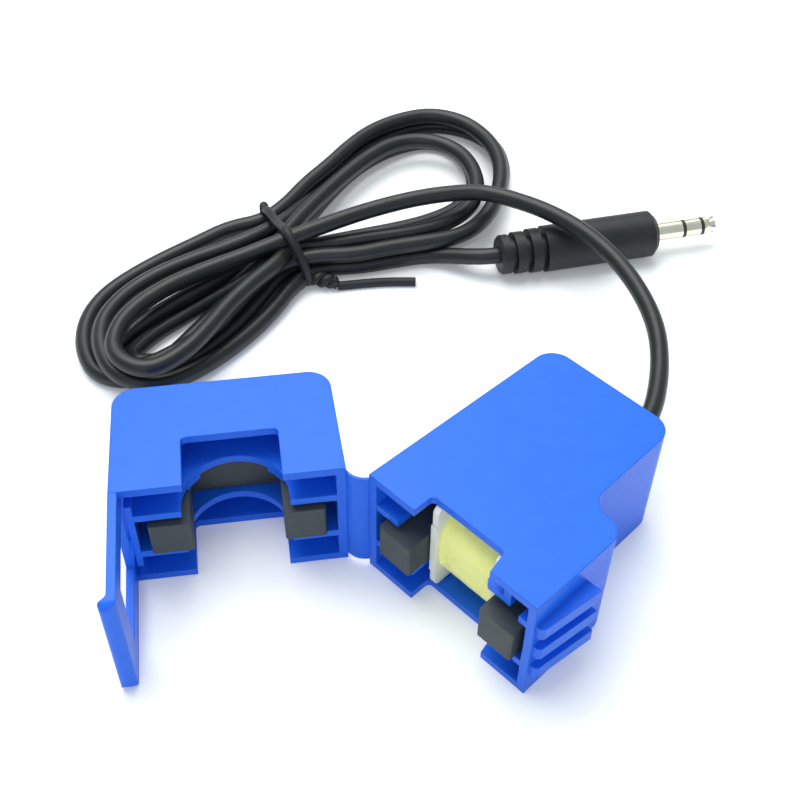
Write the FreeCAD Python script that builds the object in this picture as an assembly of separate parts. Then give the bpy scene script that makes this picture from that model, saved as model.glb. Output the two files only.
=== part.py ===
import FreeCAD, Part
import math
import os

# Clip-on current transformer, lying open on a table with its lead tied in a hank.
# Everything is modelled in the frame of the body half: x runs along the parting face from the
# hinge to the latch, y runs from the parting face into the body, z is up from the table.
# The cap half is modelled like the body, with y running into the cap, and is then laid over.
os.makedirs("parts", exist_ok=True)
Vec = FreeCAD.Vector

# Moulded housing, both halves
thickness = 22.0
width = 32.0
body_length = 39.8
cap_length = 20.5
wall = 1.4
corner_radius = 3.6
body_top_drop = 1.1
cap_top_drop = 0.5
hinge_side_taper = 0.8
cap_side_taper = 0.4

# Body half behind the latch: shoulder, narrow neck
shoulder_depth = 19.1
shoulder_radius = 3.2
neck_setback = 6.6
neck_radius = 3.4
neck_taper = 0.35

# Conductor window, cut half in each half
window_width = 14.4
body_window_depth = 3.9
body_window_slant = 0.8
cap_window_depth = 9.3
window_corner_radius = 0.8
arch_radius = 8.0
arch_apex = 9.6

# Shelves that hold the cores
shelf_thickness = 1.35
core_slot_height = 7.3
shelf_front = 0.2
upper_ledge_width = 4.4
latch_ledge_width = 1.4
latch_ledge_raise = 1.35
latch_shelf_front = 2.5
tongue_front = 1.0
tongue_width = 4.7
tongue_overhang = 1.4
tongue_length = 1.9
hanger_thickness = 1.3
core_stop_thickness = 1.35
pad_width = 2.9
pad_length = 5.5

# Ferrite cores
core_side_gap = 3.2
core_latch_gap = 2.5
core_section = 6.3
core_height = 6.5
core_chamfer = 0.3
body_pole_stand = 1.2
cap_pole_stand = 0.7
pole_gap = 0.1
body_core_depth = 14.6
cap_core_depth = 17.0

# Hinge
hinge_out = 1.48
open_angle = 126.4
web_end_thickness = 1.0
web_thickness = 0.45
web_bulge = 0.5
web_end_inset = 1.2

# Latch: ramp ribs on the body, windowed arm on the cap
rib_count = 3
rib_height = 2.5
rib_pitch = 5.0
rib_nose = 0.7
rib_nose_length = 0.5
rib_front = 0.5
rib_back = 11.3
rib_stand = 2.5
arm_clearance = 0.7
arm_thickness = 1.3
arm_slot = 0.4
arm_slot_depth = 10.0
inner_wall_thickness = 1.0
inner_wall_height = 14.5
window_side_clearance = 0.45
catch_clearance = 0.3
arm_window_front = 0.3
side_window_depth = 5.0
catch_bar_length = 3.8
lip_length = 1.9
lip_flare = 1.9
lip_slant = 0.9
lip_foot_radius = 2.2
lip_head_radius = 1.6

# Bobbin and winding
bobbin_clearance = 0.3
flange_thickness = 1.1
flange_front = 3.3
flange_back = 19.5
flange_corner = 1.2
flange_step = 0.3
flange_step_height = 11.0
tube_wall = 0.8
tube_clearance = 0.2
winding_clearance = 2.1
winding_corner = 5.5
tape_thickness = 0.25

# Terminals, burden resistor and inner wires
pin_diameter = 0.6
pin_length = 5.0
pin_seat = 1.5
pin_spread = 9.0
lead_diameter = 0.4
resistor_diameter = 2.3
resistor_length = 6.2
resistor_lead_diameter = 0.5
resistor_setback = 2.3
wire_diameter = 1.2
wire_pitch = 1.4
wire_bend_in = 4.0
wire_bend_out = 3.0
small_gap = 0.05

# Cable, its tie and its hank
cable_diameter = 3.2
cable_hole_clearance = 0.1
cable_across = 19.5
cable_inside = 5.4
cable_tie_band = 0.7
cable_tie_width = 2.5
cable_tie_head = 3.0
hank_height = 6.4
waist_across = 16.4
waist_height = 10.4
waist_length = 10.0
waist_corner = 1.6
waist_place = (-62.0, 38.5)
waist_turn = 252.5
tie_thickness = 0.6
tie_width = 1.8
tie_tail_width = 1.0

# Moulded plug
plug_radius = 4.5
plug_length = 31.7
plug_turn = 58.3
plug_place = (-32.2, 65.3)
plug_round = 1.0
relief_radius = 3.8
relief_groove_radius = 2.9
relief_rib = 2.0
relief_groove = 1.0
relief_ribs = 3
cable_tail_reach = 9.5
cable_tail_drop = 1.6
jack_radius = 1.75
jack_shank_radius = 1.3
jack_seat = 8.0
jack_length = 14.0
jack_sleeve = 5.75
jack_insulator = 0.7
jack_ring = 3.1
jack_waist_radius = 1.25
jack_waist_length = 1.0
jack_tip_radius = 0.5

# Worked out from the sizes above
mid_height = thickness / 2
neck_width = width - neck_setback
gap = body_pole_stand + cap_pole_stand + pole_gap
hinge_axis = Vec(-hinge_out, -gap / 2, 0)
core_left = core_side_gap
core_right = width - core_latch_gap
core_middle = (core_left + core_right) / 2
core_slot_bottom = mid_height - core_slot_height / 2
slot_top = core_slot_bottom + core_slot_height
winding_size = thickness - 2 * wall - 2 * winding_clearance
window_start = core_middle - window_width / 2
window_end = window_start + window_width
arm_inner = width + arm_clearance
arm_outer = arm_inner + arm_thickness
shelf_back = body_core_depth + core_stop_thickness
window_half_height = (rib_count - 1) / 2 * rib_pitch + rib_height / 2 + window_side_clearance
arm_window_back = rib_back + gap + catch_clearance
arm_straight = arm_window_back + catch_bar_length


def save(name, shape):
    shape.exportStep("parts/" + name + ".step")


def box(x0, x1, y0, y1, z0, z1):
    return Part.makeBox(x1 - x0, y1 - y0, z1 - z0, Vec(x0, y0, z0))


def tangent_path(points, radii, closed):
    """Straight runs between the points, joined by tangent arcs of the radii."""
    count = len(points)
    starts = []
    edges = []
    for i in range(count):
        here = points[i]
        radius = radii[i]
        if radius <= 0:
            starts.append((here, here))
            continue
        back = (points[i - 1] - here).normalize()
        ahead = (points[(i + 1) % count] - here).normalize()
        half_turn = (math.pi - back.getAngle(ahead)) / 2
        trim = radius * math.tan(half_turn)
        first = here + back * trim
        last = here + ahead * trim
        inward = (back + ahead).normalize()
        centre = here + inward * (radius / math.cos(half_turn))
        middle = centre - inward * radius
        starts.append((first, last))
        edges.append((i, Part.Arc(first, middle, last).toShape()))
    arcs = dict(edges)
    path = []
    for i in range(count if closed else count - 1):
        if i in arcs and (closed or i > 0):
            path.append(arcs[i])
        a = starts[i][1]
        b = starts[(i + 1) % count][0]
        if (b - a).Length > 1e-6:
            path.append(Part.LineSegment(a, b).toShape())
    return Part.Wire(path)


def prism(corners, z0, z1):
    """Upright prism on an outline of (x, y, corner radius)."""
    points = [Vec(x, y, z0) for x, y, radius in corners]
    outline = tangent_path(points, [radius for x, y, radius in corners], True)
    return Part.Face(outline).extrude(Vec(0, 0, z1 - z0))


def side_prism(corners, x0, x1):
    """Prism along x on an outline of (y, z, corner radius)."""
    points = [Vec(x0, y, z) for y, z, radius in corners]
    outline = tangent_path(points, [radius for y, z, radius in corners], True)
    return Part.Face(outline).extrude(Vec(x1 - x0, 0, 0))


def under_top(shape, drop, length, inset):
    """Keeps what lies between the floor and the sloping top of a half, both moved in by inset."""
    before = -gap
    behind = 2 * length
    slope = drop / length
    low = [(before, inset, 0), (behind, inset, 0)]
    high = [(behind, thickness - slope * behind - inset, 0), (before, thickness - slope * before - inset, 0)]
    return shape.common(side_prism(low + high, -width, 2 * width))


def body_outline(inset, front):
    """Plan of the body half, moved in by inset, from the depth front on."""
    far = body_length - inset
    round_far = corner_radius - inset
    corners = [(inset, front, 0), (width - inset, front, 0)]
    corners.append((width - inset, shoulder_depth - inset, shoulder_radius - inset))
    corners.append((neck_width - inset, shoulder_depth - inset, neck_radius + inset))
    corners.append((neck_width - neck_taper - inset, far, round_far))
    corners.append((hinge_side_taper + inset, far, round_far))
    return corners


def window_cut(depth, slant):
    """The conductor window's rectangle, open at the parting face."""
    corners = [(window_start, -gap, 0), (window_end + slant * gap / depth, -gap, 0)]
    corners.append((window_end - slant, depth, window_corner_radius))
    corners.append((window_start, depth, window_corner_radius))
    return prism(corners, -gap, thickness + gap)


def make_body_housing():
    shell = under_top(prism(body_outline(0, 0), 0, thickness), body_top_drop, body_length, 0)
    hollow = prism(body_outline(wall, -gap), 0, thickness)
    hollow = under_top(hollow, body_top_drop, body_length, wall)
    shell = shell.cut(hollow)
    shell = shell.cut(window_cut(body_window_depth, body_window_slant))

    # Shelves on the hinge side and the stop behind the core
    grip = wall / 2
    lower = core_slot_bottom - shelf_thickness
    ledge_end = wall + upper_ledge_width
    pieces = [box(grip, window_start, shelf_front, shelf_back, lower, core_slot_bottom)]
    pieces.append(box(grip, ledge_end, shelf_front, shelf_back, slot_top, slot_top + shelf_thickness))
    pieces.append(box(grip, ledge_end, body_core_depth, shelf_back, lower, slot_top + shelf_thickness))

    # Shelves on the latch side
    inner = width - wall
    right = width - grip
    ledge = inner - latch_ledge_width
    support = window_end + flange_thickness / 2
    raised = slot_top + latch_ledge_raise
    pieces.append(box(ledge, right, 0, latch_shelf_front, lower, core_slot_bottom))
    pieces.append(box(support, right, latch_shelf_front, shelf_back, lower, core_slot_bottom))
    pieces.append(box(ledge, right, 0, shelf_back, raised, raised + shelf_thickness))
    pieces.append(box(ledge, right, body_core_depth, shelf_back, lower, raised))

    # Tongue over the winding's end, hung from the top wall
    tongue_start = window_end - tongue_overhang
    tongue_end = tongue_start + tongue_width
    tip = [(tongue_start, tongue_front, tongue_length / 2 - small_gap)]
    tip.append((tongue_end, tongue_front, 0))
    tip.append((tongue_end, tongue_front + tongue_length, 0))
    tip.append((tongue_start, tongue_front + tongue_length, tongue_length / 2 - small_gap))
    pieces.append(prism(tip, raised, raised + shelf_thickness))
    pieces.append(box(support, tongue_end, tongue_front, shelf_back, raised, raised + shelf_thickness))
    hanger = tongue_end - hanger_thickness
    pieces.append(box(hanger, tongue_end, tongue_front, shelf_back, raised, thickness - wall))

    # Ramp ribs of the latch
    for i in range(rib_count):
        middle = mid_height + (i - (rib_count - 1) / 2) * rib_pitch
        ramp = [(width - grip, rib_front, 0), (width + rib_nose, rib_front, 0)]
        ramp.append((width + rib_nose + rib_nose_length, rib_front + rib_nose_length, 0))
        ramp.append((width + rib_stand, rib_back, 0))
        ramp.append((width - grip, rib_back, 0))
        pieces.append(prism(ramp, middle - rib_height / 2, middle + rib_height / 2))
    shell = shell.fuse(pieces).removeSplitter()

    # Hole for the cable
    hole = cable_diameter / 2 + cable_hole_clearance
    drill = Part.makeCylinder(hole, 4 * wall, Vec(cable_across, body_length - 2 * wall, mid_height), Vec(0, 1, 0))
    return shell.cut(drill)


def make_cap_housing():
    far = cap_length
    corners = [(0, 0, 0), (arm_outer, 0, 0)]
    corners.append((arm_outer - cap_side_taper, far, corner_radius))
    corners.append((cap_side_taper, far, corner_radius))
    block = under_top(prism(corners, 0, thickness), cap_top_drop, cap_length, 0)

    inner_end = arm_inner - arm_slot - inner_wall_thickness
    round_far = corner_radius - wall
    hollow = [(wall, -gap, 0), (inner_end, -gap, 0), (inner_end, far - wall, round_far)]
    hollow.append((wall + cap_side_taper, far - wall, round_far))
    hollow = under_top(prism(hollow, 0, thickness), cap_top_drop, cap_length, wall)
    slot = box(arm_inner - arm_slot, arm_inner, -gap, arm_slot_depth, 0, thickness)
    inner_wall_low = mid_height - inner_wall_height / 2
    inner_wall_high = mid_height + inner_wall_height / 2
    around = [box(inner_end - wall, arm_inner, -gap, arm_slot_depth, 0, inner_wall_low)]
    around.append(box(inner_end - wall, arm_inner, -gap, arm_slot_depth, inner_wall_high, thickness))
    slot = under_top(slot.fuse(around), cap_top_drop, cap_length, wall)
    low = mid_height - window_half_height
    high = mid_height + window_half_height
    side_window = box(arm_inner - arm_slot, arm_outer + 1, -gap, side_window_depth, low, high)
    shell = block.cut([hollow, slot, side_window, window_cut(cap_window_depth, 0)])

    # Shelves above and below the core, with the arch cut out of both
    grip = wall / 2
    lower = core_slot_bottom - shelf_thickness
    plates = [box(grip, inner_end + grip, 0, far - grip, lower, core_slot_bottom)]
    plates.append(box(grip, inner_end + grip, 0, far - grip, slot_top, slot_top + shelf_thickness))
    arch_left = core_middle - arch_radius
    arch_centre = arch_apex - arch_radius
    core_top = core_slot_bottom + core_height
    for side in (-1, 1):
        outer = core_middle + side * arch_radius
        near = outer - side * pad_width
        pad_start = arch_centre + arch_radius / 2
        plates.append(box(min(outer, near), max(outer, near), pad_start, pad_start + pad_length, core_top, slot_top))
    arch = box(arch_left, arch_left + 2 * arch_radius, -gap, arch_centre, 0, thickness)
    arch = arch.fuse(Part.makeCylinder(arch_radius, thickness, Vec(core_middle, arch_centre, 0)))
    plates = [plate.cut(arch).common(block) for plate in plates]
    return shell.fuse(plates).removeSplitter()


def make_latch_arm():
    """The arm in the cap's frame: it leaves the parting face toward the body, y below zero."""
    end = arm_straight + lip_length
    outline = [(arm_inner, 0, 0), (arm_outer, 0, 0), (arm_outer, -arm_straight, 1.0)]
    outline.append((arm_outer + lip_flare, -end + lip_slant / 2, 0.6))
    outline.append((arm_outer, -end, 1.5))
    outline.append((arm_inner, -end + lip_slant, 0.5))
    arm = prism(outline, 0, thickness)
    face = [(0, 0, 0), (0, thickness, 0), (-end, thickness, lip_head_radius)]
    face.append((-end, 0, lip_foot_radius))
    arm = arm.common(side_prism(face, arm_inner - 1, arm_outer + 2 * lip_flare))
    low = mid_height - window_half_height
    high = mid_height + window_half_height
    return arm.cut(box(arm_inner - 1, arm_outer + 1, -arm_window_back, -arm_window_front, low, high))


def make_core(stand, back):
    """U core with its poles at y = -stand and its yoke ending at back."""
    inner_left = core_left + core_section
    inner_right = core_right - core_section
    corners = [(core_left, -stand, 0), (inner_left, -stand, 0)]
    corners.append((inner_left, back - core_section - 0.1, 0))
    corners.append((inner_right, back - core_section - 0.1, 0))
    corners.append((inner_right, -stand, 0))
    corners.append((core_right, -stand, 0))
    corners.append((core_right, back, core_section / 3))
    corners.append((core_left, back, core_section / 3))
    core = prism(corners, core_slot_bottom, core_slot_bottom + core_height)
    long_edges = []
    for edge in core.Edges:
        low_end = edge.Vertexes[0].Point
        high_end = edge.Vertexes[-1].Point
        upright = abs(low_end.z - high_end.z) > core_height / 2
        at_pole = abs(low_end.y + stand) < small_gap and abs(high_end.y + stand) < small_gap
        if upright and at_pole:
            long_edges.append(edge)
    return core.makeChamfer(core_chamfer, long_edges)


def make_bobbin():
    left = core_left + core_section + bobbin_clearance
    right = core_right - core_section - bobbin_clearance
    yoke = body_core_depth - core_section / 2
    core_mid = core_slot_bottom + core_height / 2
    half_deep = core_section / 2 + tube_clearance
    half_high = core_height / 2 + tube_clearance
    outer = side_prism(square(yoke, core_mid, half_deep + tube_wall, half_high + tube_wall, 0.8), left, right)
    flanges = []
    for start in (left, right - flange_thickness):
        back = flange_back
        low = wall + bobbin_clearance
        high = thickness - wall - bobbin_clearance
        face = [(flange_front, low, flange_corner), (flange_front, high, flange_corner)]
        face.append((back, high, flange_corner))
        face.append((back, low, flange_corner))
        plate = side_prism(face, start, start + flange_thickness)
        plate = under_top(plate, body_top_drop, body_length, wall + bobbin_clearance)
        step_low = mid_height - flange_step_height / 2
        plate = plate.fuse(box(start, start + flange_thickness, flange_front - flange_step, flange_front + 1,
                               step_low, step_low + flange_step_height))
        flanges.append(plate)
    bobbin = outer.fuse(flanges).removeSplitter()
    bobbin = bobbin.cut(side_prism(square(yoke, core_mid, half_deep, half_high, 0), left - 1, right + 1))
    for side in (-1, 1):
        seat = pin_at(side)
        bobbin = bobbin.cut(seat)
    return bobbin


def square(y, z, half_y, half_z, radius):
    corners = [(y - half_y, z - half_z, radius), (y + half_y, z - half_z, radius)]
    corners.append((y + half_y, z + half_z, radius))
    corners.append((y - half_y, z + half_z, radius))
    return corners


def pin_across():
    return core_left + core_section + bobbin_clearance + flange_thickness / 2


def pin_at(side):
    z = mid_height + side * pin_spread / 2
    start = Vec(pin_across(), flange_back - pin_seat, z)
    return Part.makeCylinder(pin_diameter / 2, pin_length, start, Vec(0, 1, 0))


def make_coil(size, corner, hollow_size_y, hollow_size_z, hollow_corner):
    left = core_left + core_section + bobbin_clearance + flange_thickness
    right = core_right - core_section - bobbin_clearance - flange_thickness
    yoke = body_core_depth - core_section / 2
    core_mid = core_slot_bottom + core_height / 2
    coil = side_prism(square(yoke, core_mid, size / 2, size / 2, corner), left, right)
    inner = side_prism(square(yoke, core_mid, hollow_size_y / 2, hollow_size_z / 2, hollow_corner), left, right)
    return coil.cut(inner)


def tube(points, diameter, radii):
    """A round tube along straight runs and tangent arcs."""
    path = tangent_path(points, radii, False)
    start = points[0]
    along = points[1] - points[0]
    ring = Part.Wire(Part.makeCircle(diameter / 2, start, along))
    return path.makePipeShell([ring], True, True), path


def bend_radii(points):
    """0.45 of the shorter run beside each point, divided by the tangent of half the turn."""
    radii = [0]
    for i in range(1, len(points) - 1):
        back = points[i - 1] - points[i]
        ahead = points[i + 1] - points[i]
        half_turn = (math.pi - back.getAngle(ahead)) / 2
        radii.append(0.45 * min(back.Length, ahead.Length) / math.tan(half_turn))
    return radii + [0]


def rod(start, end, diameter):
    return Part.makeCylinder(diameter / 2, (end - start).Length, start, end - start)


def make_resistor():
    x = pin_across()
    y = flange_back + resistor_setback
    half = pin_spread / 2 - pin_diameter / 2 - small_gap
    body_half = resistor_length / 2
    belly = resistor_diameter / 2
    lead = resistor_lead_diameter / 2
    cap_length_z = resistor_length / 6
    profile = [(0, -half), (lead, -half), (lead, -body_half), (belly, -body_half)]
    profile += [(belly, -body_half + cap_length_z), (belly * 0.85, -body_half + cap_length_z * 1.4)]
    profile += [(radius, -height) for radius, height in reversed(profile)]
    points = [Vec(x + radius, y, mid_height + height) for radius, height in profile]
    outline = Part.makePolygon(points + [points[0]])
    return Part.Face(outline).revolve(Vec(x, y, mid_height), Vec(0, 0, 1), 360)


def make_inner_wire(side):
    cable_end = body_length - wall - cable_inside
    z0 = mid_height + side * wire_pitch / 2
    z1 = mid_height + side * pin_spread / 2
    pin_end = flange_back - pin_seat + pin_length
    points = [Vec(cable_across, cable_end, z0), Vec(cable_across, cable_end - wire_bend_in, z0)]
    points.append(Vec(pin_across(), pin_end + wire_bend_out, z1))
    points.append(Vec(pin_across(), pin_end, z1))
    return tube(points, wire_diameter, bend_radii(points))[0]


def make_cable_clamp():
    """The tie that stops the cable from being pulled out of the body."""
    start = body_length - wall - small_gap - cable_tie_width
    centre = Vec(cable_across, start, mid_height)
    outer = cable_diameter / 2 + cable_tie_band
    ring = Part.makeCylinder(outer, cable_tie_width, centre, Vec(0, 1, 0))
    head_left = cable_across - outer - cable_tie_head / 2
    head = box(head_left, head_left + cable_tie_head, start, start + cable_tie_width,
               mid_height - cable_tie_head / 2, mid_height + cable_tie_head / 2)
    ring = ring.fuse(head).removeSplitter()
    return ring.cut(Part.makeCylinder(cable_diameter / 2, cable_tie_width, centre, Vec(0, 1, 0)))


def heading(degrees):
    angle = math.radians(degrees)
    return Vec(math.cos(angle), math.sin(angle), 0)


# Route of the cable from the body to the hank, chosen by hand along the real one
waist = Vec(waist_place[0], waist_place[1], 0)
along_waist = heading(waist_turn)
across_waist = heading(waist_turn + 90)
lead_end = waist - along_waist * (waist_length / 2) + across_waist * 3.5 + Vec(0, 0, 8.4)
cable_start = Vec(cable_across, body_length - wall - cable_inside, mid_height)
cable_route = [cable_start]
cable_route.append(Vec(cable_across, 44.5, mid_height))
cable_route.append(Vec(12.3, 57.5, 11.3))
cable_route.append(Vec(3.0, 69.0, 12.0))
cable_route.append(Vec(-11.5, 76.5, 12.5))
cable_route.append(Vec(-27.5, 77.5, 12.3))
cable_route.append(Vec(-42.0, 74.0, 10.5))
cable_route.append(Vec(-51.8, 63.5, 9.2))
cable_route.append(lead_end - along_waist * 10.5)
cable_route.append(lead_end)


def make_hank():
    """Closed solid of the tied hank's outer shape: two flat loops and the gathered waist."""
    near_loop = [(-73.5, 33.0), (-75.8, 17.0), (-72.5, 0.0), (-63.5, -10.7), (-53.0, -6.0), (-46.6, 10.0)]
    near_loop += [(-49.5, 27.0)]
    far_loop = [(-46.6, 47.0), (-37.6, 57.5), (-35.6, 68.0), (-42.0, 82.5), (-56.0, 94.5), (-70.0, 96.3)]
    far_loop += [(-79.2, 85.0), (-76.5, 66.0)]
    left = waist - across_waist * (waist_across / 2 - 1)
    right = waist + across_waist * (waist_across / 2 - 1)
    points = [Vec(x, y, 0) for x, y in near_loop] + [right]
    points += [Vec(x, y, 0) for x, y in far_loop] + [left]
    curve = Part.BSplineCurve()
    curve.interpolate(points, True)
    slab = Part.Face(Part.Wire(curve.toShape())).extrude(Vec(0, 0, hank_height))
    zone = waist_prism(waist_across + 20, -1, waist_height, tie_width / 2 + small_gap, 0)
    core = waist_prism(waist_across, tie_thickness, waist_height, waist_length / 2, waist_corner)
    return slab.cut(zone).fuse(core).removeSplitter()


def waist_prism(across, z0, z1, half_length, radius):
    """Block across the hank's waist, square to the strands there."""
    shape = side_prism(square(0, (z0 + z1) / 2, across / 2, (z1 - z0) / 2, radius), -half_length, half_length)
    shape.rotate(Vec(0, 0, 0), Vec(0, 0, 1), waist_turn)
    shape.translate(waist)
    return shape


def make_twist_tie():
    """Band round the waist and the twisted tail that lies on the table."""
    outer = waist_prism(waist_across + 2 * tie_thickness, 0, waist_height + tie_thickness, tie_width / 2,
                        waist_corner + tie_thickness)
    inner = waist_prism(waist_across, tie_thickness, waist_height, tie_width, waist_corner)
    band = outer.cut(inner)
    start = waist + across_waist * (waist_across / 2 - waist_corner)
    half = tie_tail_width / 2
    tail = [start + Vec(0, 0, half), start + across_waist * 5 + Vec(0, 0, half)]
    tail.append(Vec(-47.6, 42.6, half))
    tail.append(Vec(-40.3, 51.1, half))
    strip, path = tube(tail, tie_tail_width, bend_radii(tail))
    return band.fuse(strip.cut(inner)).removeSplitter()


def on_plug(profile):
    """Solid of revolution about the plug's axis; profile is (distance along, radius)."""
    along = heading(plug_turn)
    origin = Vec(plug_place[0], plug_place[1], plug_radius)
    points = [origin + along * distance + Vec(0, 0, radius) for distance, radius in profile]
    face = Part.Face(Part.makePolygon(points + [points[0]]))
    return face.revolve(origin, along, 360)


def make_plug():
    pitch = relief_rib + relief_groove
    profile = [(0, 0), (0, relief_radius - 0.5), (0.5, relief_radius)]
    for i in range(relief_ribs):
        start = i * pitch
        swell = relief_radius + (plug_radius - relief_radius) * i / relief_ribs
        if i > 0:
            profile.append((start, swell))
        profile.append((start + relief_rib, swell))
        profile.append((start + relief_rib, relief_groove_radius))
        profile.append((start + pitch, relief_groove_radius))
    profile.append((relief_ribs * pitch, plug_radius))
    profile.append((plug_length - plug_round, plug_radius))
    profile.append((plug_length, plug_radius - plug_round))
    profile.append((plug_length, jack_shank_radius))
    profile.append((plug_length - jack_seat, jack_shank_radius))
    profile.append((plug_length - jack_seat, 0))
    return on_plug(profile)


def make_jack():
    """Contacts of the plug: sleeve, ring and tip, with an insulator between each two."""
    stations = [0, jack_sleeve]
    for length in (jack_insulator, jack_ring, jack_insulator):
        stations.append(stations[-1] + length)
    pieces = {}
    names = ["jack_sleeve", "jack_insulator_1", "jack_ring", "jack_insulator_2"]
    for i, name in enumerate(names):
        start = plug_length + stations[i]
        end = plug_length + stations[i + 1]
        pieces[name] = on_plug([(start, 0), (start, jack_radius), (end, jack_radius), (end, 0)])
    seat = plug_length - jack_seat
    shank = on_plug([(seat, 0), (seat, jack_shank_radius), (plug_length, jack_shank_radius), (plug_length, 0)])
    pieces["jack_sleeve"] = pieces["jack_sleeve"].fuse(shank).removeSplitter()
    start = plug_length + stations[-1]
    end = plug_length + jack_length
    tip = [(start, 0), (start, jack_radius), (start + 0.5, jack_radius)]
    tip.append((start + 0.5 + jack_waist_length, jack_waist_radius))
    tip.append((start + 1.2 + jack_waist_length, jack_radius))
    tip.append((end, jack_tip_radius))
    tip.append((end, 0))
    pieces["jack_tip"] = on_plug(tip)
    return pieces


def lay_over(shape):
    """Turns a piece modelled in the cap's frame into the open cap's place."""
    shape = shape.mirror(Vec(0, 0, 0), Vec(0, 1, 0))
    shape.translate(Vec(0, -gap, 0))
    shape.rotate(hinge_axis, Vec(0, 0, 1), -open_angle)
    return shape


def cap_point(x, y):
    """Where a point of the cap's frame lies once the cap is laid over."""
    place = Vec(x, -y - gap, 0) - hinge_axis
    angle = math.radians(-open_angle)
    turned_x = place.x * math.cos(angle) - place.y * math.sin(angle)
    turned_y = place.x * math.sin(angle) + place.y * math.cos(angle)
    return hinge_axis + Vec(turned_x, turned_y, 0)


def make_hinge_web():
    """Thin bent web between the hinge-side corners of the two halves."""
    body_front = Vec(0, 0, 0)
    body_back = Vec(hinge_side_taper * web_end_thickness / body_length, web_end_thickness, 0)
    cap_front = cap_point(0, 0)
    cap_back = cap_point(cap_side_taper * web_end_thickness / cap_length, web_end_thickness)
    chord = body_front - cap_front
    outward = Vec(chord.y, -chord.x, 0).normalize()
    front_middle = (body_front + cap_front) * 0.5 + outward * web_bulge
    back_middle = front_middle - outward * web_thickness
    edges = [Part.Arc(cap_front, front_middle, body_front).toShape()]
    edges.append(Part.LineSegment(body_front, body_back).toShape())
    edges.append(Part.Arc(body_back, back_middle, cap_back).toShape())
    edges.append(Part.LineSegment(cap_back, cap_front).toShape())
    web = Part.Face(Part.Wire(edges)).extrude(Vec(0, 0, thickness - 2 * web_end_inset))
    web.translate(Vec(0, 0, web_end_inset))
    return web


# The object's own pieces
own = {}
own["body_housing"] = make_body_housing()
own["cap_housing"] = lay_over(make_cap_housing())
own["latch_arm"] = lay_over(make_latch_arm())
own["hinge_web"] = make_hinge_web()
own["body_core"] = make_core(body_pole_stand, body_core_depth)
own["cap_core"] = lay_over(make_core(cap_pole_stand, cap_core_depth))
core_low = core_slot_bottom
cap_pad = box(core_left + core_section, core_right - core_section, cap_core_depth, cap_length - wall,
              core_low, core_low + core_height)
own["cap_core_pad"] = lay_over(cap_pad)
own["bobbin"] = make_bobbin()
copper_size = winding_size - 2 * tape_thickness
copper_corner = winding_corner - tape_thickness
tube_deep = core_section + 2 * (tube_clearance + tube_wall)
tube_high = core_height + 2 * (tube_clearance + tube_wall)
own["winding"] = make_coil(copper_size, copper_corner, tube_deep, tube_high, tube_wall)
own["winding_tape"] = make_coil(winding_size, winding_corner, copper_size, copper_size, copper_corner)
coil_back = body_core_depth - core_section / 2 + winding_size / 2
for number, side in ((1, -1), (2, 1)):
    own["terminal_pin_%d" % number] = pin_at(side)
    own["inner_wire_%d" % number] = make_inner_wire(side)
    pin_height = mid_height + side * pin_spread / 2
    lead_from = Vec(pin_across() + flange_thickness, coil_back + lead_diameter, mid_height + side)
    lead_to = Vec(pin_across() + 0.6, flange_back + 0.8, pin_height)
    own["winding_lead_%d" % number] = rod(lead_from, lead_to, lead_diameter)
own["burden_resistor"] = make_resistor()
own["cable_clamp"] = make_cable_clamp()

# The cable and what is on it
cord = {}
radii = bend_radii(cable_route)
cord["cable_lead"], lead_path = tube(cable_route, cable_diameter, radii)
cord["cable_hank"] = make_hank()
plug_start = Vec(plug_place[0], plug_place[1], plug_radius)
tail_start = plug_start - heading(plug_turn) * cable_tail_reach - Vec(0, 0, cable_tail_drop)
tail_end = plug_start + (plug_start - tail_start) * 0.1
cord["plug_body"] = make_plug()
tail_line = rod(tail_start, tail_end, cable_diameter)
cord["cable_tail"] = tail_line.cut([cord["cable_hank"], cord["plug_body"]])
cord["twist_tie"] = make_twist_tie()
cord.update(make_jack())

print("cable radii", [round(radius, 1) for radius in radii[1:-1]])
section = math.pi * cable_diameter ** 2 / 4
print("cable volume", round(cord["cable_lead"].Volume, 1), "section times length", round(section * lead_path.Length, 1))
print("cable length shown outside the hank", round(lead_path.Length, 1))

# The origin is under the middle of the object's own pieces
bounds = FreeCAD.BoundBox()
for shape in own.values():
    bounds.add(shape.BoundBox)
shift = Vec(-bounds.Center.x, -bounds.Center.y, 0)
print("shift", round(shift.x, 4), round(shift.y, 4), "size", round(bounds.XLength, 2), round(bounds.YLength, 2),
      round(bounds.ZLength, 2), "floor", round(bounds.ZMin, 4))
print("hinge axis", hinge_axis + shift)
print("arm root", cap_point(arm_outer, 0) + shift)

for name, shape in list(own.items()) + list(cord.items()):
    shape.translate(shift)
    if not shape.isValid() or len(shape.Solids) != 1:
        print("look at", name, shape.isValid(), len(shape.Solids))
    save(name, shape)
print("pieces", len(own) + len(cord))
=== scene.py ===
import bpy
import bmesh
import math
from mathutils import Matrix, Vector


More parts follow.
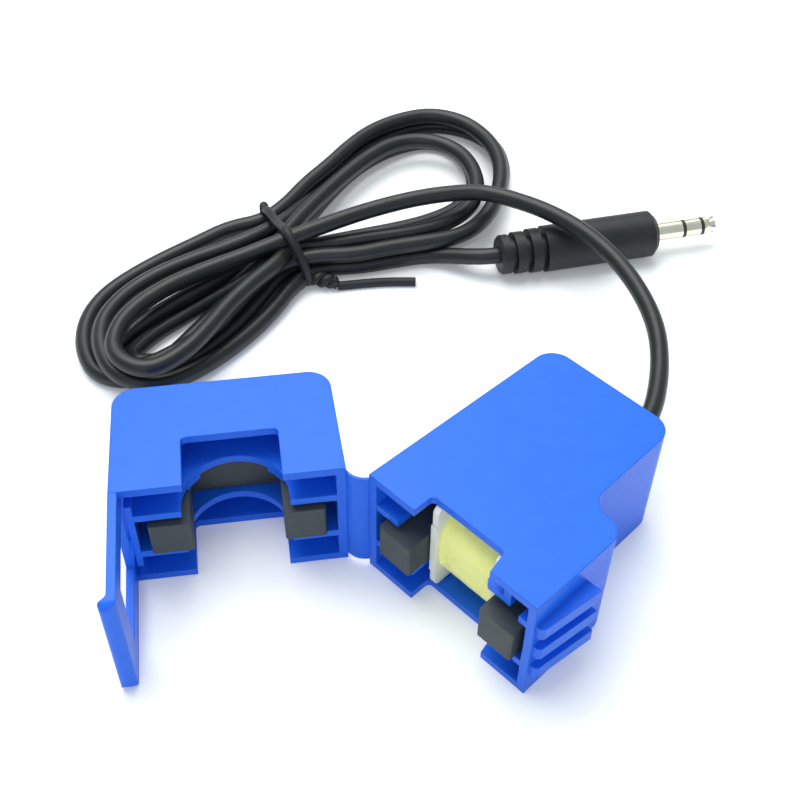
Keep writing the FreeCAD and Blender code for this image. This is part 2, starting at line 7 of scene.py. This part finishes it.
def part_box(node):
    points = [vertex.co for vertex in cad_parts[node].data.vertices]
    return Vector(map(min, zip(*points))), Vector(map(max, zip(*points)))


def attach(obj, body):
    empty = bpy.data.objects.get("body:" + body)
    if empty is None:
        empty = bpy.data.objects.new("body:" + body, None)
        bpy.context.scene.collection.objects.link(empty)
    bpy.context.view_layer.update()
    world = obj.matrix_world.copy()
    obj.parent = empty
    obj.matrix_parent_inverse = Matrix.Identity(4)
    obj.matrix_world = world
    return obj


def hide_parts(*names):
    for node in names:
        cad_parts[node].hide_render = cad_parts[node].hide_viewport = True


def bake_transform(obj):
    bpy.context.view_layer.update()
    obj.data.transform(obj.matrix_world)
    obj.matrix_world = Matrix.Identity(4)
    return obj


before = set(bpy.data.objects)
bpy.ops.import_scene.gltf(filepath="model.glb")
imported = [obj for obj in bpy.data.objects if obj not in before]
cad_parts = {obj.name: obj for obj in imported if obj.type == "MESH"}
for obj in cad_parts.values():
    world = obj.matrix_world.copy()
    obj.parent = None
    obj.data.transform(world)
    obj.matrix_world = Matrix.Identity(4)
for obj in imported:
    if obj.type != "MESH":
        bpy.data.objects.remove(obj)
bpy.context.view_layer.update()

# Everything is in metres in the row frame, whose origin is under the middle of the housing.
MM = 0.001
# The housing's hinge-side corner on its parting face, from which the photograph was measured.
CORNER = Vector((1.8549, 0.7295, 0.0))
# The photograph's camera: where it stands from that corner, and where it looks.
CAMERA_PLACE = Vector((81.0, -76.85, 158.93))
CAMERA_AZIMUTH = 44.33
CAMERA_ELEVATION = 47.33
CAMERA_ROLL = 1.12
FOCAL_PIXELS = 1225.0
FRAME_PIXELS = 800.0
SENSOR_WIDTH = 36.0
CLIP_START = 0.01


def at(x, y, z):
    """A place given in millimetres from the housing's corner, in metres in the row frame."""
    return (Vector((x, y, z)) + CORNER) * MM


def heading(degrees):
    angle = math.radians(degrees)
    return Vector((math.cos(angle), math.sin(angle), 0.0))


# Camera
def add_camera():
    data = bpy.data.cameras.new("camera")
    data.sensor_width = SENSOR_WIDTH
    data.lens = FOCAL_PIXELS / FRAME_PIXELS * data.sensor_width
    data.clip_start = CLIP_START
    camera = bpy.data.objects.new("camera", data)
    bpy.context.scene.collection.objects.link(camera)
    turn = Matrix.Rotation(math.radians(CAMERA_AZIMUTH), 4, "Z")
    tilt = Matrix.Rotation(math.radians(90.0 - CAMERA_ELEVATION), 4, "X")
    roll = Matrix.Rotation(math.radians(CAMERA_ROLL), 4, "Z")
    camera.matrix_world = Matrix.Translation(at(*CAMERA_PLACE)) @ turn @ tilt @ roll
    bpy.context.scene.camera = camera


# Materials: Principled shaders, their colour and roughness from noise in object space, most with bump
# How coarse the changes of colour are beside a material's grain
BROAD_SHARE = 0.12
BEVEL_SAMPLES = 6


def new_material(name):
    material = bpy.data.materials.new(name)
    material.use_nodes = True
    tree = material.node_tree
    shader = tree.nodes["Principled BSDF"]
    return material, tree, shader


def noise(tree, scale, detail):
    place = tree.nodes.new("ShaderNodeTexCoord")
    node = tree.nodes.new("ShaderNodeTexNoise")
    node.inputs["Scale"].default_value = scale
    node.inputs["Detail"].default_value = detail
    tree.links.new(place.outputs["Object"], node.inputs["Vector"])
    return node.outputs["Fac"]


def colour_ramp(tree, factor, stops):
    ramp = tree.nodes.new("ShaderNodeValToRGB")
    elements = ramp.color_ramp.elements
    while len(elements) < len(stops):
        elements.new(0.5)
    for element, (position, colour) in zip(elements, stops):
        element.position = position
        element.color = (*colour, 1.0)
    tree.links.new(factor, ramp.inputs["Fac"])
    return ramp.outputs["Color"]


def value_range(tree, factor, low, high):
    node = tree.nodes.new("ShaderNodeMapRange")
    node.inputs["To Min"].default_value = low
    node.inputs["To Max"].default_value = high
    tree.links.new(factor, node.inputs["Value"])
    return node.outputs["Result"]


def add_bump(tree, shader, height, strength, distance, soften=0.0):
    bump = tree.nodes.new("ShaderNodeBump")
    bump.inputs["Strength"].default_value = strength
    bump.inputs["Distance"].default_value = distance
    tree.links.new(height, bump.inputs["Height"])
    if soften > 0:
        edge = tree.nodes.new("ShaderNodeBevel")
        edge.samples = BEVEL_SAMPLES
        edge.inputs["Radius"].default_value = soften
        tree.links.new(edge.outputs["Normal"], bump.inputs["Normal"])
    tree.links.new(bump.outputs["Normal"], shader.inputs["Normal"])


def surface(name, dark, light, grain, rough, bump, soften=0.0, metallic=0.0, specular=0.5):
    """A material whose colour runs between dark and light; grain is (scale, detail)."""
    material, tree, shader = new_material(name)
    broad = noise(tree, grain[0] * BROAD_SHARE, 3.0)
    fine = noise(tree, grain[0], grain[1])
    tree.links.new(colour_ramp(tree, broad, [(0.3, dark), (0.7, light)]), shader.inputs["Base Color"])
    tree.links.new(value_range(tree, fine, rough[0], rough[1]), shader.inputs["Roughness"])
    add_bump(tree, shader, fine, bump[0], bump[1], soften)
    shader.inputs["Metallic"].default_value = metallic
    shader.inputs["Specular IOR Level"].default_value = specular
    return material


def paint(obj, material):
    obj.data.materials.clear()
    obj.data.materials.append(material)


def dress_nodes():
    blue = surface("moulded_blue", (0.010, 0.132, 0.80), (0.012, 0.140, 0.83), (2600.0, 4.0),
                   (0.32, 0.42), (0.04, 0.00004), soften=0.00028, specular=0.24)
    ferrite = surface("ferrite", (0.036, 0.048, 0.053), (0.044, 0.057, 0.062), (5200.0, 6.0),
                      (0.50, 0.72), (0.35, 0.00006), soften=0.00022)
    foam = surface("foam", (0.012, 0.012, 0.013), (0.03, 0.03, 0.03), (4200.0, 5.0), (0.8, 0.95),
                   (0.5, 0.0002))
    nylon = surface("bobbin_nylon", (0.86, 0.86, 0.78), (0.91, 0.91, 0.84), (3000.0, 4.0), (0.40, 0.55),
                    (0.12, 0.00006), soften=0.0002)
    copper = surface("copper", (0.45, 0.17, 0.07), (0.62, 0.27, 0.11), (6000.0, 3.0), (0.2, 0.3),
                     (0.4, 0.00005), metallic=1.0)
    tin = surface("tinned_wire", (0.60, 0.60, 0.58), (0.74, 0.74, 0.72), (6000.0, 3.0), (0.2, 0.35),
                  (0.1, 0.00003), metallic=1.0)
    red = surface("red_wire", (0.50, 0.02, 0.015), (0.60, 0.03, 0.02), (4000.0, 3.0), (0.35, 0.45),
                  (0.08, 0.00003))
    white = surface("white_wire", (0.70, 0.70, 0.67), (0.80, 0.80, 0.77), (4000.0, 3.0), (0.35, 0.45),
                    (0.08, 0.00003))
    natural = surface("natural_tie", (0.55, 0.55, 0.50), (0.66, 0.66, 0.60), (3000.0, 3.0), (0.35, 0.5),
                      (0.08, 0.00003))
    gold = surface("plated_contact", (0.92, 0.87, 0.68), (0.96, 0.93, 0.80), (3500.0, 3.0), (0.16, 0.26),
                   (0.05, 0.00002), metallic=1.0)
    black = surface("black_ring", (0.012, 0.012, 0.012), (0.03, 0.03, 0.03), (4000.0, 3.0), (0.3, 0.4),
                    (0.05, 0.00002))
    grip = black_rubber("moulded_grip", 0.42, 0.55)
    chosen = {
        "body_housing": blue, "cap_housing": blue, "latch_arm": blue,
        "body_core": ferrite, "cap_core": ferrite, "cap_core_pad": foam, "bobbin": nylon,
        "winding": copper, "winding_lead_1": copper, "winding_lead_2": copper,
        "terminal_pin_1": tin, "terminal_pin_2": tin, "inner_wire_1": red, "inner_wire_2": white,
        "cable_clamp": natural, "jack_sleeve": gold, "jack_ring": gold, "jack_tip": gold,
        "jack_insulator_1": black, "jack_insulator_2": black,
        "burden_resistor": banded_resistor(), "winding_tape": film_tape(), "plug_body": grip,
    }
    for name, material in chosen.items():
        paint(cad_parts[name], material)
    return blue


def black_rubber(name, low, high):
    return surface(name, (0.006, 0.009, 0.009), (0.010, 0.014, 0.013), (2200.0, 4.0), (low, high),
                   (0.10, 0.00005), specular=0.45)


def film_tape():
    """Pale yellow film wound round the coil, with faint turns across it."""
    material, tree, shader = new_material("film_tape")
    place = tree.nodes.new("ShaderNodeTexCoord")
    wave = tree.nodes.new("ShaderNodeTexWave")
    wave.wave_type = "BANDS"
    wave.bands_direction = "X"
    wave.inputs["Scale"].default_value = 420.0
    wave.inputs["Distortion"].default_value = 1.4
    wave.inputs["Detail"].default_value = 2.0
    tree.links.new(place.outputs["Object"], wave.inputs["Vector"])
    broad = noise(tree, 260.0, 3.0)
    colours = [(0.25, (0.94, 0.96, 0.28)), (0.75, (0.96, 0.98, 0.33))]
    tree.links.new(colour_ramp(tree, broad, colours), shader.inputs["Base Color"])
    tree.links.new(value_range(tree, broad, 0.22, 0.34), shader.inputs["Roughness"])
    add_bump(tree, shader, wave.outputs["Fac"], 0.12, 0.00008)
    return material


def banded_resistor():
    """Blue-green lacquer with colour rings along the upright body."""
    low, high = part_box("burden_resistor")
    material, tree, shader = new_material("banded_resistor")
    place = tree.nodes.new("ShaderNodeTexCoord")
    split = tree.nodes.new("ShaderNodeSeparateXYZ")
    tree.links.new(place.outputs["Object"], split.inputs["Vector"])
    span = tree.nodes.new("ShaderNodeMapRange")
    span.inputs["From Min"].default_value = low.z
    span.inputs["From Max"].default_value = high.z
    tree.links.new(split.outputs["Z"], span.inputs["Value"])
    lacquer = (0.12, 0.30, 0.38)
    stops = [(0.0, (0.6, 0.6, 0.6)), (0.125, lacquer), (0.22, (0.25, 0.08, 0.02)), (0.28, lacquer)]
    stops += [(0.36, (0.02, 0.02, 0.02)), (0.42, lacquer), (0.5, (0.6, 0.2, 0.02)), (0.56, lacquer)]
    stops += [(0.875, (0.6, 0.6, 0.6))]
    colours = colour_ramp(tree, span.outputs["Result"], stops)
    colours.node.color_ramp.interpolation = "CONSTANT"
    tree.links.new(colours, shader.inputs["Base Color"])
    tree.links.new(value_range(tree, noise(tree, 3000.0, 3.0), 0.25, 0.35), shader.inputs["Roughness"])
    return material


# Cable, in millimetres from the housing's corner: the route from the body, near the part's and moved to
# follow the photograph
DIAMETER = 3.2
LEAD = [(19.5, 33, 11), (18.4, 44.4, 11.3), (12, 56.6, 11.4), (3.2, 66.3, 11.9), (-11, 73.6, 12.2),
        (-26.2, 76, 11.7), (-41.5, 73.3, 10.2)]
# The hank: the lead's run to the tie, then five passes round the near loop with four round the far one
# between. Places read from the photograph were smoothed and evenly spaced by a fit, and a few of the
# results were then moved; the hidden stretches are guessed.
APPROACH = [(-46.4, 68, 10.2), (-50.4, 62, 10), (-53.7, 55.6, 9.6), (-56.4, 48.9, 9.2), (-58.6, 42, 8.8)]
TURNS = [
    [(-60.6, 35.1, 8.4), (-62.4, 28.1, 8), (-64.3, 21.2, 7.9), (-65.8, 14.1, 7.8), (-65.9, 6.8, 7.8),
     (-64, -0.3, 7.8), (-58.7, -5.7, 7.8), (-51, -3.9, 7.8), (-50.3, 3.8, 7.8), (-52.2, 10.8, 7.8),
     (-54.8, 17.6, 7.6), (-56.3, 24.6, 7.6), (-57.4, 31.8, 7.4), (-61, 38.1, 5.4), (-56.6, 44, 4.8),
     (-52.9, 50.3, 4.9), (-49, 56.4, 4.8), (-45.9, 63, 4.8), (-45.1, 70.2, 4.9), (-48.2, 76.9, 4.9),
     (-53.8, 81.7, 4.9), (-60.8, 84.2, 4.8), (-68, 82.1, 4.8), (-71.8, 75.7, 4.9), (-71.8, 68.4, 4.9),
     (-70.6, 61.2, 5.1), (-69, 54.2, 5.2), (-67.2, 47.2, 5.3), (-65, 40.3, 5.3)],
    [(-62.3, 33.6, 5.3), (-61.3, 26.5, 3.6), (-63.3, 19.8, 1.7), (-63.3, 12.7, 1.6), (-63.4, 5.3, 1.6),
     (-61.5, -1.6, 1.6), (-56, 2.8, 1.6), (-57.8, 10.4, 1.7), (-59.7, 17.4, 1.6), (-61.6, 24.3, 1.6),
     (-63, 31.4, 1.9), (-62.9, 38.6, 2), (-60.6, 45.5, 1.7), (-57.4, 52, 1.6), (-54, 58.4, 1.6),
     (-51.1, 65, 1.6), (-49.6, 72.2, 1.6), (-51.2, 79.3, 1.6), (-56.5, 84.5, 1.6), (-63.4, 87.4, 1.6),
     (-70.5, 85.4, 1.6), (-73.6, 78.6, 1.6), (-74.4, 71.3, 1.6), (-73.6, 64.1, 1.6), (-71.7, 57.1, 1.6),
     (-69.3, 50.3, 1.7), (-67, 43.5, 2)],
    [(-65.2, 36.5, 2.4), (-64.9, 29.4, 3.6), (-64.4, 22.2, 4.2), (-64.8, 15, 4.1), (-65.6, 7.8, 3.3),
     (-66.5, 1.6, 1.6), (-63.8, -4.5, 1.6), (-56.7, -2.3, 3.1), (-54, 4.7, 4.6), (-54.2, 12, 4.6),
     (-56.4, 18.9, 4), (-58.6, 25.8, 3.8), (-59.5, 33.1, 4.7), (-56.1, 39.5, 5.1), (-51.4, 45, 4.8),
     (-48.2, 51.5, 4.8), (-44.3, 57.6, 4.9), (-40.8, 64, 4.8), (-41, 71.3, 4.8), (-44, 78, 4.9),
     (-48.1, 84, 4.9), (-53.4, 88.9, 4.9), (-60, 91.9, 4.8), (-67.4, 92.5, 4.8), (-73.8, 89, 4.9),
     (-77, 82.3, 4.9), (-78.1, 75.1, 4.9), (-77.2, 67.9, 4.8), (-75.5, 60.9, 4.7), (-74.6, 53.7, 4.3),
     (-72.6, 46.7, 3.9)],
    [(-72.3, 40.4, 3.4), (-75.9, 34.2, 3), (-76.9, 27, 2.6), (-78.3, 20, 2), (-78.9, 12.8, 1.6),
     (-78.1, 5.5, 1.6), (-74.7, -0.9, 1.6), (-69, -5.5, 1.6), (-61.7, -7.6, 1.6), (-55.8, -3.1, 1.6),
     (-53.8, 4.1, 1.6), (-53.4, 11.3, 1.6), (-54.6, 18.5, 1.6), (-56.7, 25.4, 1.6), (-59, 32.3, 2),
     (-58.9, 39.5, 2), (-55.5, 46, 1.6), (-51.8, 52.2, 1.6), (-47.7, 58.1, 1.6), (-44.1, 64.5, 1.6),
     (-43.2, 71.7, 1.6), (-45.3, 78.7, 1.6), (-48.8, 85.1, 1.6), (-53.4, 90.7, 1.6), (-59.7, 94.5, 1.6),
     (-67.1, 94.2, 1.6), (-73.5, 90.5, 1.6), (-76.8, 83.9, 1.6), (-77.5, 76.7, 1.7), (-77.3, 69.4, 1.6),
     (-76.2, 62.3, 1.6), (-74.1, 55.4, 1.7), (-71.1, 48.9, 2.9), (-68.3, 42.4, 4.5)],
    [(-68.1, 35, 5.2), (-69.8, 27.9, 4.9), (-71.7, 21, 4.9), (-72.9, 14, 4.8), (-72.5, 6.8, 4.8),
     (-69.8, 0, 4.9), (-64.2, -4.7, 5), (-56.8, -6.7, 4.8), (-50.9, -2.7, 3.6), (-50.2, 4.7, 2.2),
     (-50.6, 11.9, 1.6), (-51.4, 19.1, 1.6), (-52.9, 26.1, 1.8), (-55.4, 33, 2.1)],
]
TAIL = [(-55.6, 40.1, 1.9), (-51, 46, 1.6), (-47.4, 52.2, 1.7), (-43.7, 58.6, 1.6), (-33.9, 62.6, 4.5),
        (-32.2, 65.3, 4.5)]


def cable_points():
    hank = [point for turn in TURNS for point in turn]
    return [Vector(point) for point in LEAD + APPROACH + hank + TAIL]


def add_spline(data, points, cyclic=False):
    spline = data.splines.new("NURBS")
    spline.points.add(len(points) - 1)
    for target, point in zip(spline.points, points):
        target.co = (*at(*point), 1.0)
    spline.order_u = 3
    spline.use_endpoint_u = not cyclic
    spline.use_cyclic_u = cyclic


def new_curve(name, radius):
    data = bpy.data.curves.new(name, "CURVE")
    data.dimensions = "3D"
    data.bevel_depth = radius * MM
    data.bevel_resolution = 6
    data.resolution_u = 8
    data.use_fill_caps = True
    obj = bpy.data.objects.new(name, data)
    bpy.context.scene.collection.objects.link(obj)
    return obj


def add_cable():
    cable = new_curve("cable", DIAMETER / 2)
    add_spline(cable.data, cable_points())
    paint(cable, black_rubber("cable_jacket", 0.34, 0.46))
    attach(cable, "body")
    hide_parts("cable_lead", "cable_hank", "cable_tail")
    return cable


# Twist tie: a strap drawn round the hank's waist, its two ends twisted together, and the end left over
TIE_RADIUS = 0.88
WAIST = Vector((-62.0, 38.5, 0.0))
WAIST_TURN = 252.5
# Round the bundle: across the waist, height, and along the bundle
STRAP = [(-12.3, 3.4, 0.4), (-11.4, 1.1, 0.2), (-7.0, 0.7, 0.0), (-1.0, 0.7, 0.0), (4.5, 0.7, 0.0),
         (7.9, 1.0, 0.0), (8.4, 3.4, 0.2), (7.2, 6.6, 0.8), (5.6, 9.6, 1.6), (3.2, 11.1, 1.9),
         (0.4, 9.8, 1.6), (-3.6, 8.0, 1.2), (-7.6, 7.3, 0.9), (-11.0, 5.9, 0.6)]
TWIST = [(-55.6, 36.6, 1.3), (-50.3, 39.9, 0.75)]
TWIST_STEPS = 14
TWIST_TURNS = 1.75
TWIST_SPREAD = 0.72
TWIST_CORE = 0.15
# The spread swells from this share of its course and closes at this rate
TWIST_OPENS = 0.1
TWIST_CLOSES = 1.05
TIE_END = [(-50.3, 39.9, 0.75), (-49.2, 41.4, 0.7), (-47.4, 44.0, 0.7), (-44.1, 48.2, 0.7),
           (-40.8, 51.5, 0.7)]
# The small knob at the strap's far side, in the same terms as the strap
KNOT = [(-11.9, 4.6, 0.4), (-12.4, 5.3, 0.3), (-12.0, 6.0, 0.5), (-11.3, 5.8, 0.8), (-11.2, 5.0, 0.8)]


def round_waist(across, height, along):
    place = WAIST + heading(WAIST_TURN + 90.0) * across + heading(WAIST_TURN) * along
    return Vector((place.x, place.y, height))


def twisted(phase):
    start, end = Vector(TWIST[0]), Vector(TWIST[1])
    run = end - start
    side = run.cross(Vector((0.0, 0.0, 1.0))).normalized()
    points = []
    for step in range(TWIST_STEPS + 1):
        share = step / TWIST_STEPS
        angle = phase + share * TWIST_TURNS * math.tau
        course = min(1.0, share * TWIST_CLOSES + TWIST_OPENS)
        spread = TWIST_SPREAD * math.sin(math.pi * course) + TWIST_CORE
        place = start + run * share + side * (math.cos(angle) * spread)
        points.append(place + Vector((0.0, 0.0, (1.0 + math.sin(angle)) * TWIST_SPREAD)))
    return points


def add_twist_tie():
    tie = new_curve("tie_strap", TIE_RADIUS)
    add_spline(tie.data, [round_waist(*point) for point in STRAP], cyclic=True)
    add_spline(tie.data, [round_waist(*point) for point in KNOT], cyclic=True)
    for phase in (0.0, math.pi):
        add_spline(tie.data, twisted(phase))
    add_spline(tie.data, [Vector(point) for point in TIE_END])
    paint(tie, black_rubber("tie_plastic", 0.5, 0.62))
    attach(tie, "body")
    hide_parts("twist_tie")
    return tie


# Hinge web: the part's bent web, cut across its bend so that it can turn smoothly
WEB_CUTS = 14
WEB_JOIN = 0.00001
# Where the web leaves the body, and where it meets the cap
WEB_START = (0.0, 0.4, 0.0)
WEB_END = (-3.5, -1.4, 0.0)


def add_hinge_web(blue):
    web = bpy.data.objects.new("hinge_web_bending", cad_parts["hinge_web"].data.copy())
    bpy.context.scene.collection.objects.link(web)
    start, end = at(*WEB_START), at(*WEB_END)
    mesh = bmesh.new()
    mesh.from_mesh(web.data)
    bmesh.ops.remove_doubles(mesh, verts=mesh.verts, dist=WEB_JOIN)
    for cut in range(WEB_CUTS + 1):
        parts = mesh.verts[:] + mesh.edges[:] + mesh.faces[:]
        place = start.lerp(end, cut / WEB_CUTS)
        bmesh.ops.bisect_plane(mesh, geom=parts, plane_co=place, plane_no=end - start)
    mesh.to_mesh(web.data)
    mesh.free()
    paint(web, blue)
    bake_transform(web)
    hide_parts("hinge_web")


# Floor, light and background
FLOOR_REACH = 4.0
FLOOR_DROP = 0.00002
FLOOR_GLOW = 0.14


def add_stage():
    mesh = bpy.data.meshes.new("floor")
    sides = [(-1, -1), (1, -1), (1, 1), (-1, 1)]
    corners = [(x * FLOOR_REACH, y * FLOOR_REACH, -FLOOR_DROP) for x, y in sides]
    mesh.from_pydata(corners, [], [(0, 1, 2, 3)])
    floor = bpy.data.objects.new("floor", mesh)
    bpy.context.scene.collection.objects.link(floor)
    material, tree, shader = new_material("pale_floor")
    shader.inputs["Base Color"].default_value = (0.90, 0.93, 0.94, 1.0)
    shader.inputs["Roughness"].default_value = 0.9
    path = tree.nodes.new("ShaderNodeLightPath")
    glow = tree.nodes.new("ShaderNodeMath")
    glow.operation = "MAXIMUM"
    tree.links.new(path.outputs["Is Camera Ray"], glow.inputs[0])
    tree.links.new(path.outputs["Is Glossy Ray"], glow.inputs[1])
    level = tree.nodes.new("ShaderNodeMath")
    level.operation = "MULTIPLY"
    level.inputs[1].default_value = FLOOR_GLOW
    tree.links.new(glow.outputs[0], level.inputs[0])
    shader.inputs["Emission Color"].default_value = (1.0, 1.0, 1.0, 1.0)
    tree.links.new(level.outputs[0], shader.inputs["Emission Strength"])
    mesh.materials.append(material)


def add_world():
    world = bpy.data.worlds.new("world")
    bpy.context.scene.world = world
    world.use_nodes = True
    tree = world.node_tree
    light = tree.nodes["Background"]
    light.inputs["Color"].default_value = (0.88, 0.97, 1.0, 1.0)
    light.inputs["Strength"].default_value = 0.5
    seen = tree.nodes.new("ShaderNodeBackground")
    seen.inputs["Color"].default_value = (1.0, 1.0, 1.0, 1.0)
    seen.inputs["Strength"].default_value = 1.0
    path = tree.nodes.new("ShaderNodeLightPath")
    mix = tree.nodes.new("ShaderNodeMixShader")
    either = tree.nodes.new("ShaderNodeMath")
    either.operation = "MAXIMUM"
    tree.links.new(path.outputs["Is Camera Ray"], either.inputs[0])
    tree.links.new(path.outputs["Is Transmission Ray"], either.inputs[1])
    tree.links.new(either.outputs[0], mix.inputs["Fac"])
    tree.links.new(light.outputs[0], mix.inputs[1])
    tree.links.new(seen.outputs[0], mix.inputs[2])
    tree.links.new(mix.outputs[0], tree.nodes["World Output"].inputs["Surface"])


def add_lamp(name, place, target, size, power, colour):
    data = bpy.data.lights.new(name, "AREA")
    data.shape = "SQUARE"
    data.size = size
    data.energy = power
    data.color = colour
    lamp = bpy.data.objects.new(name, data)
    bpy.context.scene.collection.objects.link(lamp)
    lamp.location = place
    lamp.rotation_euler = (Vector(target) - Vector(place)).to_track_quat("-Z", "Y").to_euler()


def add_lights():
    add_world()
    middle = (-0.02, 0.03, 0.0)
    add_lamp("key", (-0.36, 0.08, 0.95), middle, 0.8, 9.6, (1.0, 0.985, 0.97))
    add_lamp("back", (-0.55, 0.56, 0.8), middle, 0.7, 2.6, (1.0, 0.99, 0.98))
    add_lamp("front", (0.5, -0.55, 0.5), middle, 0.8, 1.5, (1.0, 1.0, 0.98))


bpy.context.scene.view_settings.view_transform = "Standard"
add_camera()
blue = dress_nodes()
cable = add_cable()
tie = add_twist_tie()
add_hinge_web(blue)
add_stage()
add_lights()
